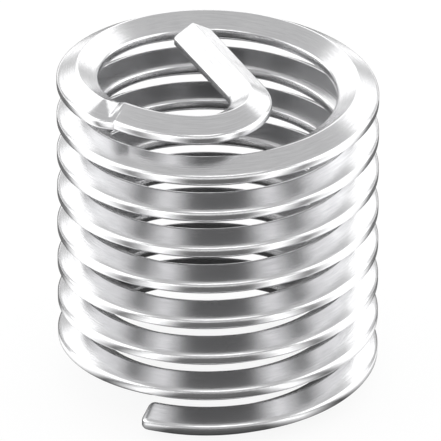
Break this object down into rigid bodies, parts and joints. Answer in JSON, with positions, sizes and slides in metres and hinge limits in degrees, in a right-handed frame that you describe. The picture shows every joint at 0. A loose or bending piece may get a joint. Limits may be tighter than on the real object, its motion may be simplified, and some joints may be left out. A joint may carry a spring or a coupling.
{
  "type": "helical thread insert",
  "caption": "Coil of rhombic stainless wire that lines a tapped hole with a strong inner thread; a bent tang across one end drives it in.",
  "frame": {"origin": "on the coil's axis, level with the lowest point of the wire at the cut end", "axes": "+Z along the coil's axis from the cut end to the tang; the straight tang crosses the axis at 25 degrees from the Y axis"},
  "size_m": [0.0144, 0.0144, 0.0164],
  "materials": {
    "drawn_wire": "bright drawn stainless steel wire, with fine drawing lines along its length"
  },
  "bodies": {
    "root": {"insert_wire": "drawn_wire"}
  },
  "joints": []
}
